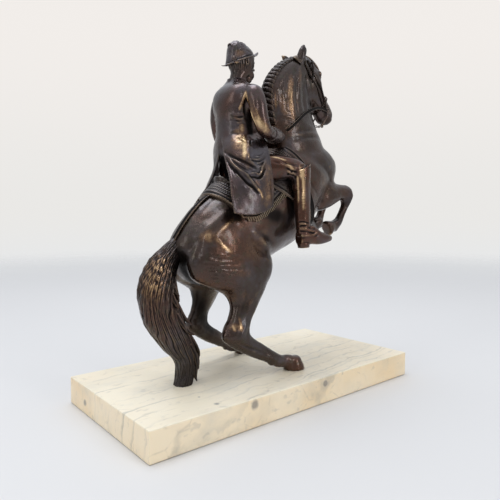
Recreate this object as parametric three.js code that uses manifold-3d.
// A bronze statuette of a rider on a rearing horse, bolted down on a slab of veined marble.
// The bronze stands on its two hind hooves and on the tip of the tail.
// Millimetres, +X the way the horse faces, +Y to its left, +Z up; the origin is the middle of the slab's underside.
import * as THREE from 'three';
import { LoftGeometry } from 'three/addons/geometries/LoftGeometry.js';
import { mergeVertices } from 'three/addons/utils/BufferGeometryUtils.js';
import Module from 'manifold-3d';

const wasm = await Module();
wasm.setup();

// Driving sizes
const plinthLength = 380;
const plinthWidth = 185;
const plinthThickness = 30;
const plinthEdge = 1.2; // the worn bevel round the slab
const figureHeight = 397; // from the marble to the tip of the horse's right ear
const seatGap = 0.05; // the hooves and the tail stand this far above the polish

// The figure is plotted in millimetres at this height and drawn at figureHeight.
const plottedHeight = 397;
const figureScale = figureHeight / plottedHeight;

const bronzeFinish = new THREE.MeshStandardMaterial({ color: 0x3b2a20, roughness: 0.38, metalness: 0.85 });
const marbleFinish = new THREE.MeshStandardMaterial({ color: 0xe6dfce, roughness: 0.35, metalness: 0 });

// A section is a row of numbers: two opposite edge points in side view (x, z and x, z),
// the half width across, the y of its middle, the turn about the vertical in degrees,
// and the fullness, which widens the side of the second edge and narrows the other.
const blank = [0, 0, 0, 0, 0, 0, 0, 0];
const full = (row) => blank.map((zero, i) => row[i] ?? zero);

// A smooth row at any place along a list of rows, from 0 at the first to 1 at the last.
function rowAt(rows, place) {
  const spot = THREE.MathUtils.clamp(place, 0, 1) * (rows.length - 1);
  const i = Math.min(Math.floor(spot), rows.length - 2);
  const [a, b, c, d] = [i - 1, i, i + 1, i + 2].map((k) => full(rows[THREE.MathUtils.clamp(k, 0, rows.length - 1)]));
  const t = spot - i;
  return b.map((start, k) => {
    const into = (c[k] - a[k]) / 2;
    const outOf = (d[k] - start) / 2;
    const rise = c[k] - start;
    return start + t * (into + t * (3 * rise - 2 * into - outOf + t * (into + outOf - 2 * rise)));
  });
}

// A point of a section: angle 0 is the first edge, 90 the left side, 180 the second edge.
function pointOn(row, degrees, lift = 0, squareness = 2) {
  const [x1, z1, x2, z2, halfWidth, y, turn, fullness] = row;
  const angle = THREE.MathUtils.degToRad(degrees);
  const shape = (v) => Math.sign(v) * Math.abs(v) ** (2 / squareness);
  const depth = Math.hypot(x1 - x2, z1 - z2) / 2;
  const along = shape(Math.cos(angle)) * (1 + lift / depth);
  const across = shape(Math.sin(angle)) * (halfWidth + lift) * (1 - fullness * Math.cos(angle));
  const offset = new THREE.Vector3(along * (x1 - x2) / 2, across, along * (z1 - z2) / 2);
  offset.applyAxisAngle(new THREE.Vector3(0, 0, 1), THREE.MathUtils.degToRad(turn));
  return offset.add(new THREE.Vector3((x1 + x2) / 2, y, (z1 + z2) / 2));
}

// Any closed geometry as a solid, with its faces turned outwards.
function solidOf(geometry) {
  const bare = new THREE.BufferGeometry();
  bare.setIndex(geometry.index);
  bare.setAttribute('position', geometry.getAttribute('position'));
  const merged = mergeVertices(bare, 1e-4);
  const position = merged.getAttribute('position');
  const corners = [];
  let volume = 0;
  const [a, b, c] = [0, 1, 2].map(() => new THREE.Vector3());
  for (let i = 0; i < merged.index.count; i += 3) {
    const [p, q, r] = [0, 1, 2].map((k) => merged.index.getX(i + k));
    if (p === q || q === r || r === p) continue;
    corners.push(p, q, r);
    volume += a.fromBufferAttribute(position, p).dot(
      b.fromBufferAttribute(position, q).cross(c.fromBufferAttribute(position, r)));
  }
  if (volume < 0) corners.reverse();
  return new wasm.Manifold(new wasm.Mesh({
    numProp: 3, vertProperties: position.array, triVerts: new Uint32Array(corners),
  }));
}

const middleOf = (ring) => ring.reduce((sum, p) => sum.add(p), new THREE.Vector3()).divideScalar(ring.length);

// A loft wants its rings counterclockwise as seen from its end
function lofted(sections) {
  const [first, second] = sections;
  const area = first.reduce((sum, p, i) => sum.add(p.clone().cross(first[(i + 1) % first.length])), new THREE.Vector3());
  const ahead = middleOf(second).sub(middleOf(first));
  const rings = area.dot(ahead) > 0 ? sections : sections.map((ring) => [...ring].reverse());
  return solidOf(new LoftGeometry(rings, { capStart: true, capEnd: true }));
}

// Rounded ends: further rings beyond the first and last, each smaller and further out.
const domeRings = [[0.55, 0.83], [0.9, 0.45]];
function withDomes(sections, startHeight, endHeight) {
  const beyond = (ring, next, height) => {
    const centre = middleOf(ring);
    const outwards = centre.clone().sub(middleOf(next)).normalize();
    return domeRings.map(([reach, size]) => ring.map((p) =>
      p.clone().sub(centre).multiplyScalar(size).add(centre).addScaledVector(outwards, reach * height)));
  };
  const before = startHeight > 0 ? beyond(sections[0], sections[1], startHeight).reverse() : [];
  const after = endHeight > 0 ? beyond(sections.at(-1), sections.at(-2), endHeight) : [];
  return [...before, ...sections, ...after];
}

// A limb or a mass of the body, from rows of sections.
function mass(rows, { sides = 12, rings = rows.length, squareness = 2, start = 0, end = 0 } = {}) {
  const sections = [];
  for (let i = 0; i < rings; i += 1) {
    const row = rowAt(rows, i / (rings - 1));
    sections.push(Array.from({ length: sides }, (_, k) => pointOn(row, (360 * (k + 0.5)) / sides, 0, squareness)));
  }
  return lofted(withDomes(sections, start, end));
}

// A round or flattened strand along a path. Stops are [x, y, z, half thickness, half breadth];
// the breadth lies square to the path and to the given direction.
function strand(stops, { sides = 6, rings = stops.length, facing = [0, 0, 1], start = 0, end = 0 } = {}) {
  const path = new THREE.CatmullRomCurve3(stops.map(([x, y, z]) => new THREE.Vector3(x, y, z)));
  const out = new THREE.Vector3(...facing);
  const sections = [];
  for (let i = 0; i < rings; i += 1) {
    const place = i / (rings - 1);
    const spot = place * (stops.length - 1);
    const k = Math.min(Math.floor(spot), stops.length - 2);
    const thick = THREE.MathUtils.lerp(stops[k][3], stops[k + 1][3], spot - k);
    const broad = THREE.MathUtils.lerp(stops[k][4] ?? stops[k][3], stops[k + 1][4] ?? stops[k + 1][3], spot - k);
    const along = path.getTangent(place);
    const side = new THREE.Vector3().crossVectors(along, out).normalize();
    const up = new THREE.Vector3().crossVectors(side, along);
    const centre = path.getPoint(place);
    sections.push(Array.from({ length: sides }, (_, j) => {
      const angle = (2 * Math.PI * (j + 0.5)) / sides;
      return centre.clone().addScaledVector(side, broad * Math.cos(angle)).addScaledVector(up, thick * Math.sin(angle));
    }));
  }
  return lofted(withDomes(sections, start, end));
}

// A sheet along a surface: surface(u, v) gives a point, with u and v from 0 to 1. It reaches
// a little above the surface and as far below it as asked, which sinks it into the body it lies on.
function sheet(surface, above, below, acrossSteps, downSteps) {
  const sections = [];
  const step = 0.01;
  for (let i = 0; i <= acrossSteps; i += 1) {
    const u = i / acrossSteps;
    const outer = [];
    const inner = [];
    for (let j = 0; j <= downSteps; j += 1) {
      const v = j / downSteps;
      const p = surface(u, v);
      const alongU = surface(Math.min(u + step, 1), v).sub(surface(Math.max(u - step, 0), v));
      const alongV = surface(u, Math.min(v + step, 1)).sub(surface(u, Math.max(v - step, 0)));
      const normal = alongU.cross(alongV).normalize();
      outer.push(p.clone().addScaledVector(normal, above));
      inner.unshift(p.clone().addScaledVector(normal, -below));
    }
    sections.push([...outer, ...inner]);
  }
  return lofted(sections);
}

const ball = (x, y, z, rx, ry, rz, wide = 10, high = 7) => solidOf(
  new THREE.SphereGeometry(1, wide, high).scale(rx, ry, rz).translate(x, y, z));

const mirrored = (rows) => rows.map((row) => full(row).map((v, i) => (i === 5 || i === 6 ? -v : v)));
const mirroredStops = (stops) => stops.map(([x, y, z, ...sizes]) => [x, -y, z, ...sizes]);
const bothSides = (make) => [make(-1), make(1)];

// The horse: barrel and quarters, from the tail root up to the chest
const trunk = [
  [-112, 149, -103, 128, 9], [-106, 161, -92, 110, 25], [-93, 179, -68, 101, 35, 0, 0, 0.05],
  [-76, 196, -38, 106, 40, 0, 0, 0.05], [-54, 209, -2, 122, 42, 0, 0, 0.08], [-29, 221, 28, 135, 44, 0, 0, 0.1],
  [-4, 237, 52, 145, 45, 0, 0, 0.1], [18, 255, 73, 159, 43, 0, 0, 0.06], [38, 269, 94, 179, 40],
  [60, 280, 112, 198, 36], [86, 281, 128, 218, 32], [108, 272, 133, 236, 25], [121, 262, 131, 248, 14],
];
const neck = [
  [24, 256, 113, 218, 34, 0, 0, 0.1], [23, 280, 120, 250, 30, 0, 0, 0.1], [20, 301, 115, 272, 26, 0, 0, 0.1],
  [18, 322, 106, 290, 22, 0, 0, 0.08], [21, 340, 100, 306, 19, 0, 0, 0.05], [30, 355, 96, 323, 17],
  [43, 368, 93, 341, 15.5], [58, 377, 93, 356, 14], [71, 383, 93, 368, 12],
];
const head = [
  [88, 387, 80, 375, 9], [98, 381, 82, 360, 13], [108, 371, 86, 344, 15.5], [113, 360, 91, 332, 14.5],
  [119, 349, 100, 325, 11.5], [127, 339, 107, 318, 9.5], [135, 330, 112, 311, 9], [140.5, 321, 118, 306, 8.5],
  [139, 313, 127, 305, 6.5],
];
const hindLeg = [
  [-42, 194, -100, 152, 15, -20], [-16, 172, -106, 132, 21, -22], [-2, 150, -99, 113, 22, -24],
  [3, 131, -80, 102, 21, -27], [-2, 114, -64, 95, 17.5, -30, -4], [-9, 104, -58, 87, 14, -32, -8],
  [-18, 90, -57, 79, 11, -34, -12], [-28, 75, -62, 67, 9, -35.5, -14], [-36, 63, -69, 58, 8.2, -37, -15],
  [-38, 51, -71, 47, 8.5, -38, -15], [-30, 43, -59, 36, 7.2, -39, -12], [-18, 35, -36, 23, 6.2, -41, -10],
  [-2, 24, -12, 12, 6, -44, -10], [7, 19, -1, 5.5, 7, -45, -14], [14, 19, 7, 4, 6.6, -46, -20],
  [21, 17, 11, 4, 8, -47.5, -26],
];
const foreleg = [
  [113, 240, 84, 192, 14, -18], [116, 232, 91, 188, 14, -20], [123, 225, 102, 189, 12.5, -22],
  [134, 223.5, 116, 195, 10, -24], [144, 223, 128, 201, 8.5, -25], [152, 219, 135, 203, 8, -26],
  [154.5, 211, 137, 199, 8, -26], [151, 201, 136, 194, 6.4, -26], [145, 191, 130, 186, 5.6, -26],
  [138.5, 181, 124, 178, 5.6, -26], [133, 171, 115.5, 175, 6.6, -26], [127, 164, 112, 172, 6.2, -26],
  [121, 159, 108, 172, 7.6, -26],
];
// The left foreleg is held further forward: how much at the shoulder, the knee, the fetlock and the hoof
const foreReach = [0, 12, 21, 31];
const foreLift = [0, 4, 2, 3];

// A hoof, toe along +x and sole at z 0, before it is placed
const hindHoof = { length: 27, height: 15 };
const foreHoof = { length: 20, height: 13 };
function hoof({ length, height }, place) {
  const rows = [
    [0.52, 0, -0.48, 0, 0.41], [0.47, 0.3, -0.44, 0.25, 0.4], [0.28, 1, -0.32, 0.72, 0.31], [0.16, 1.12, -0.22, 0.95, 0.2],
  ];
  const drawn = rows.map(([x1, z1, x2, z2, half]) => [x1 * length, z1 * height, x2 * length, z2 * height, half * length]);
  return mass(drawn, { sides: 10 }).transform(place.elements);
}
const placed = (x, y, z, yaw, pitch = 0) => new THREE.Matrix4().compose(
  new THREE.Vector3(x, y, z),
  new THREE.Quaternion().setFromEuler(new THREE.Euler(0, THREE.MathUtils.degToRad(pitch),
    THREE.MathUtils.degToRad(yaw), 'ZYX')),
  new THREE.Vector3(1, 1, 1));

// The left gaskin stands steeper: how far back each of its sections is moved
const leftGaskinBack = [0, 0, 1, 3, 5.5, 6, 4.5, 2.5, 1];

function horse() {
  const leftHind = mirrored(hindLeg).map((row, i) =>
    row.map((v, k) => v - (k === 0 || k === 2 ? leftGaskinBack[i] ?? 0 : 0)));
  const leftFore = mirrored(foreleg).map((row, i) => {
    const [ahead, up] = [foreReach, foreLift].map((steps) => {
      const at = i <= 6 ? i / 6 : i <= 10 ? 1 + (i - 6) / 4 : 2 + (i - 10) / 2;
      const k = Math.min(Math.floor(at), 2);
      return THREE.MathUtils.lerp(steps[k], steps[k + 1], at - k);
    });
    return row.map((v, k) => v + [ahead, up, ahead, up, 0, 0, 0, 0][k]);
  });
  const rightEar = [
    [78, 375, 68, 371, 5, -9, -20], [80, 384, 67, 380, 5.5, -10, -20],
    [79, 390, 69, 388, 4, -11, -20], [75, 397, 72.5, 396.5, 0.8, -12, -20],
  ];
  const leftEar = [
    [77, 376, 70, 371, 5, 9, -20], [73, 383, 63, 378, 4.4, 10, -20], [67, 386, 60, 382.5, 3.2, 11, -20],
    [60.5, 388, 58.5, 387, 0.8, 12, -20],
  ];
  return [
    mass(trunk, { sides: 16, rings: 12, start: 4, end: 5 }),
    mass(neck, { sides: 12, rings: 9, end: 4 }),
    mass(head, { sides: 10, rings: 9, squareness: 2.3, start: 4, end: 3 }),
    ...[hindLeg, leftHind].map((rows) => mass(rows, { sides: 10, rings: 16, start: 10 })),
    ...[foreleg, leftFore].map((rows) => mass(rows, { sides: 8, rings: 12, start: 8 })),
    mass(rightEar, { sides: 8, rings: 5 }),
    mass(leftEar, { sides: 8, rings: 5 }),
    ...bothSides((side) => ball(96, side * 8.5, 348, 13, 6.5, 15, 8, 6)),
    ...bothSides((side) => ball(104, side * 11, 366, 6, 3.4, 4.5, 6, 5)),
    ...bothSides((side) => hoof(hindHoof, placed(23.5, side * 48.5, 0, side * 28))),
    hoof(foreHoof, placed(106, -26, 164.5, 0, 64)),
    hoof(foreHoof, placed(138, 27, 170, -20, 62)),
  ];
}

// The tail sweeps down to the marble and is the third foot of the bronze
const tail = [
  [-108, 158, -98, 140, 6], [-121, 149, -104, 131, 9], [-137, 136, -108, 121, 13, -1], [-148, 118, -111, 110, 16, -2],
  [-152, 97, -111, 97, 17, -3], [-149, 76, -108, 83, 17, -4], [-140, 58, -101, 66, 16.5, -5],
  [-127, 40, -94, 49, 15, -7], [-115, 26, -89, 31, 13, -9], [-112, 12, -92, 15, 11, -10], [-116, 0, -97, 0, 10, -11],
];
const tailLocks = 6;
function hairOfTail() {
  const locks = Array.from({ length: tailLocks }, (_, i) => {
    const from = 0.3 + (0.42 * i) / (tailLocks - 1);
    const side = 180 + 46 * Math.sin(2.4 * i);
    const stops = [0, 0.09, 0.18, 0.24].map((more, k) => {
      const p = pointOn(rowAt(tail, from + more), side, [-2, 0.5, 2, 6][k]);
      return [p.x, p.y, p.z, [3.5, 3.2, 2.2, 0.6][k]];
    });
    return strand(stops, { sides: 4, rings: 4 });
  });
  return [mass(tail, { sides: 12, rings: 11, squareness: 2.2 }), ...locks];
}

// The mane is dressed in short bunches that lie across the crest, one behind the other
const maneBunches = 12;
function mane() {
  const lying = [[-56, -1.2], [-34, 0.3], [0, 0.5], [34, 0.3], [56, -1.2], [30, -7], [-30, -7]];
  const sections = Array.from({ length: 2 * maneBunches }, (_, i) => {
    const row = rowAt(neck, 0.2 + (0.78 * i) / (2 * maneBunches - 1));
    const swell = i % 2 ? 1.8 : 0;
    return lying.map(([angle, lift]) => pointOn(row, angle, lift + (lift > 0 ? swell : 0)));
  });
  return [lofted(sections)];
}

// Everything of the tack that lies on the horse follows its own sections.
// The saddle cloth ends this many degrees down either side, from its back edge to its front edge.
const clothReach = [60, 78, 83, 79, 74, 71, 71, 73, 76];
function onTrunk(place, angle, lift) {
  return pointOn(rowAt(trunk, place), angle, lift);
}
function saddlery() {
  const cloth = (u, v) => {
    const along = THREE.MathUtils.clamp(u, 0, 0.999) * (clothReach.length - 1);
    const i = Math.floor(along);
    const reach = THREE.MathUtils.lerp(clothReach[i], clothReach[i + 1], along - i);
    const side = 2 * v - 1;
    return onTrunk(0.305 + 0.3 * u + 0.03 * side * side * (1 - u), reach * side, 2.4);
  };
  const girth = (u, v) => onTrunk(0.59 + 0.025 * u, 60 + 240 * v, 1.2);
  const seat = [
    [-60, 214, -52, 202, 11], [-57, 227, -45, 206, 14], [-40, 224, -30, 206, 22], [-14, 228, -6, 210, 23],
    [8, 240, 14, 222, 20], [20, 256, 28, 238, 13], [24, 261, 31, 250, 7],
  ];
  const crupper = [0.26, 0.2, 0.14, 0.08, 0.03].map((place) => {
    const p = onTrunk(place, -7, 1.2);
    return [p.x, p.y, p.z, 1.2, 2.6];
  });
  const breastStrap = (side) => [0.62, 0.7, 0.79, 0.88, 0.97].map((place, i) => {
    const p = onTrunk(place, side * [38, 62, 84, 100, 110][i], 1.6);
    return [p.x, p.y, p.z, 1.2, 3];
  });
  return [
    sheet(cloth, 1, 6, 7, 8),
    sheet(girth, 1, 5, 1, 12),
    mass(seat, { sides: 8 }),
    strand(crupper, { sides: 4, rings: 4, facing: [-0.7, 0, 0.7] }),
    ...bothSides((side) => strand(breastStrap(side), { sides: 4, rings: 4, facing: [0, side, 0] })),
  ];
}

// Bridle and reins
function bridle() {
  const strap = (side, places) => places.map(([place, angle]) => {
    const p = pointOn(rowAt(head, place), side * angle, 0.9, 2.3);
    return [p.x, p.y, p.z, 0.9, 1.5];
  });
  const cheek = (side) => strap(side, [[0.08, 70], [0.28, 62], [0.45, 66], [0.62, 84], [0.74, 100]]);
  const nose = (side) => strap(side, [[0.6, 0], [0.6, 45], [0.61, 90], [0.63, 135], [0.64, 180]]);
  const bit = (side) => [[124, side * 10.5, 318, 1.2], [119, side * 10.5, 308, 1.1], [113, side * 10.5, 300, 1]];
  const rein = (side) => [
    [123, side * 11, 317, 0.9, 1.6], [106, side * 15, 314, 0.9, 1.6], [90, side * 20.5, 308, 0.9, 1.6],
    [72, side * 24.5, 297, 0.9, 1.6], [52, side * 25, 287, 0.9, 1.6], [38, side * 15, 281, 0.9, 1.6],
  ];
  return bothSides((side) => [
    strand(cheek(side), { sides: 4, rings: 5, facing: [0, side, 0] }),
    strand(nose(side), { sides: 4, rings: 5, facing: [0.4, side, 0] }),
    strand(bit(side), { sides: 4, rings: 2, facing: [0, side, 0] }),
    strand(rein(side), { sides: 4, rings: 8, facing: [0, side, 0] }),
  ]).flat();
}

// The rider's body in a close-cut tunic
const torso = [
  [4, 228, -48, 224, 29], [1, 246, -46, 243, 26], [-4, 263, -42, 260, 21.5], [-3, 281, -42, 278, 23.5],
  [0, 298, -45, 296, 28], [-1, 311, -46, 311, 31.5], [-7, 322, -42.5, 324, 31], [-14, 330, -36, 332, 23],
  [-16, 336, -33, 338, 12],
];
const skull = [
  [-15, 331, -33, 331, 9.5], [-11, 340, -31, 341, 9.3], [-3, 345, -30, 347, 10.4], [-1, 351, -32, 352, 12],
  [0, 358, -34, 357, 12.6], [0.5, 365, -35, 363, 13], [-2, 371, -34, 370, 12.6], [-8, 377, -28, 376, 8],
];
const cockedBrim = [
  [-42.5, 352, -42, 350, 0.8], [-38, 356, -37, 350.5, 6.5], [-31, 360, -29, 353.5, 12], [-18, 366, -17, 359, 14],
  [-7, 371, -6, 364, 11.5], [0, 374, 0, 369, 6], [8, 376, 7.5, 374.2, 0.9],
];
const hatCrown = [
  [-7, 366, -37, 353, 12.5], [-8, 373, -37, 362, 12.5], [-11, 379, -34.5, 371, 11], [-16, 382, -30, 378, 7.5],
];
// An arm from the shoulder to the finger ends, with the stiff cuff of the glove
const arm = [
  [-25, -24, 321, 8, 8], [-25, -35, 316, 10.5, 9.5], [-23, -41.5, 302, 9.8, 9], [-21, -43.5, 288, 8.8, 8.4],
  [-17, -43.5, 277, 8.4, 8], [-6, -39, 273, 8, 8], [10, -30, 273.5, 7, 7.4], [11, -29, 273.6, 8.2, 8.4],
  [23, -21, 275, 8.6, 8.8], [24, -20.4, 275.2, 5, 5.6], [32, -15, 277, 5.2, 6.6], [41, -8.5, 277, 3, 4],
];
const leftElbowIn = 3; // the left elbow is held this much closer and lower
// A leg from the hip to the ankle, with the high boot's shaft from the knee down
const leg = [
  [-24, -12, 236, 14, 16], [-8, -24, 236, 14.5, 17], [8, -36, 236, 13, 15], [21, -46, 235.5, 12, 13],
  [31, -51, 230, 11, 12.5], [32.5, -53.5, 219, 10.6, 11.6], [31, -55, 203, 9.8, 11.2], [30, -56, 187, 8.8, 10.4],
  [29, -57, 173, 8, 9.4], [30, -58, 158, 8.4, 10.2],
];
const bootFoot = [
  [19.5, 163, 20.5, 147, 7, -57, -6], [28, 170, 28, 147.5, 8.4, -58, -6], [41, 170, 40, 147.5, 8.4, -59.5, -6],
  [51, 163, 50, 147, 8.4, -61, -6], [61, 158.5, 60, 148.5, 8.2, -62, -6], [68.5, 156, 68.5, 151.5, 5, -63, -6],
];
const bootHeel = [[20, 149, 36, 149, 7, -58, -6], [21.5, 143.5, 36, 144, 6.8, -58, -6]];

function rider() {
  const limb = (side, stops, options) => strand(side < 0 ? stops : mirroredStops(stops), options);
  const part = (side, rows, options) => mass(side < 0 ? rows : mirrored(rows), options);
  const armOf = (side) => arm.map(([x, y, z, ...sizes], i) => {
    const share = side < 0 ? 0 : Math.sin((Math.PI * i) / (arm.length - 1));
    return [x + leftElbowIn * share, y + leftElbowIn * share, z - leftElbowIn * share, ...sizes];
  });
  return [
    mass(torso, { sides: 12, rings: 8 }),
    mass(skull, { sides: 8, rings: 8 }),
    mass([[-11, 332, -37, 329, 13], [-10, 339, -35, 338, 11.6]], { sides: 8 }),
    ball(0, 0, 357, 3, 2.4, 4.2, 6, 4),
    mass(cockedBrim, { sides: 8, rings: 7 }),
    mass(hatCrown, { sides: 10, rings: 4, end: 3 }),
    ...bothSides((side) => [
      limb(side, armOf(side), { sides: 8, facing: [0.3, 0, 1], start: 6 }),
      limb(side, leg, { sides: 8, facing: [0, side, 0], start: 5 }),
      part(side, bootFoot, { sides: 8, rings: 5, squareness: 2.4, end: 2 }),
      part(side, bootHeel, { sides: 8 }),
    ]).flat(),
  ];
}

// The two halves of the coat's skirt, split behind for riding. Each hangs from the waist over the hip
// and the thigh to the hem, in four lines that run from the vent at the back to the front edge.
const coatThickness = 2.4;
const coatRight = [
  [[-41, 4, 263], [-38, 14, 264], [-27, 20.5, 265], [-12, 18, 265]],
  [[-53, 16, 252], [-50, 30, 248], [-33, 40, 249], [-12, 42, 254]],
  [[-66, 40, 218], [-48, 51, 218], [-31, 54, 220], [-14, 51.5, 222]],
  [[-68, 50, 183], [-50, 55, 181], [-33, 56, 184], [-15, 53, 191]],
];
const coatLeft = [
  [[-41, 2, 263], [-38, 14, 264], [-27, 20.5, 265], [-12, 18, 265]],
  [[-47, 9, 243], [-36, 28, 246], [-26, 39, 249], [-12, 42, 254]],
  [[-50, 30, 215], [-38, 45, 217], [-28, 53, 219], [-14, 51.5, 222]],
  [[-59, 49, 184], [-44, 54, 182], [-30, 56, 184], [-15, 53, 191]],
];
const coatFolds = { depth: 2.6, spread: 9 };
function coatSkirt(side) {
  const lines = (side < 0 ? coatRight : coatLeft).map((points) =>
    new THREE.CatmullRomCurve3(points.map(([x, y, z]) => new THREE.Vector3(x, side * y, z))));
  const surface = (u, v) => {
    const p = new THREE.CatmullRomCurve3(lines.map((line) => line.getPoint(u))).getPoint(v);
    const fan = Math.atan2(1.3 * v, u + 0.02);
    const fade = Math.sin(Math.PI * Math.min(1, 0.9 * Math.hypot(v, u))) * Math.min(1, 4 * (1 - u));
    p.y += side * coatFolds.depth * fade * Math.sin(coatFolds.spread * fan);
    return p;
  };
  return sheet(surface, coatThickness / 2, coatThickness / 2, 10, 6);
}

function bronzeSolid() {
  const pieces = [
    ...horse(), ...hairOfTail(), ...mane(), ...saddlery(), ...bridle(), ...rider(), ...bothSides(coatSkirt),
  ];
  return wasm.Manifold.union(pieces).decompose().sort((a, b) => b.volume() - a.volume())[0];
}

// Everything below the marble's polish is cut away, so that hooves and tail stand flat on it
function cutFlat(solid) {
  const deep = 60;
  const ground = new THREE.BoxGeometry(2 * plottedHeight, 2 * plottedHeight, deep).translate(0, 0, -deep / 2);
  return solid.subtract(solidOf(ground));
}

function meshOf(solid, name, material) {
  const { numProp, vertProperties, triVerts } = solid.getMesh();
  const geometry = new THREE.BufferGeometry();
  const positions = new Float32Array((vertProperties.length / numProp) * 3);
  for (let i = 0; i < positions.length / 3; i += 1) {
    positions.set(vertProperties.subarray(i * numProp, i * numProp + 3), i * 3);
  }
  geometry.setAttribute('position', new THREE.BufferAttribute(positions, 3));
  geometry.setIndex(new THREE.BufferAttribute(triVerts, 1));
  const mesh = new THREE.Mesh(geometry, material);
  mesh.name = name;
  return mesh;
}

function plinth() {
  const half = { x: plinthLength / 2, y: plinthWidth / 2 };
  const outline = (inset) => [[1, 1], [-1, 1], [-1, -1], [1, -1]].map(([sx, sy]) => [sx * (half.x - inset), sy * (half.y - inset)]);
  const level = (z, inset) => outline(inset).map(([x, y]) => new THREE.Vector3(x, y, z));
  const sections = [
    level(0, plinthEdge / 2), level(plinthEdge / 2, 0),
    level(plinthThickness - plinthEdge, 0), level(plinthThickness, plinthEdge),
  ];
  return meshOf(lofted(sections), 'marble_plinth', marbleFinish);
}

const statuette = new THREE.Group();
const figure = meshOf(cutFlat(bronzeSolid()), 'bronze_horse_and_rider', bronzeFinish);
figure.scale.setScalar(figureScale);
figure.position.z = plinthThickness + seatGap;
statuette.add(plinth(), figure);

export default statuette;
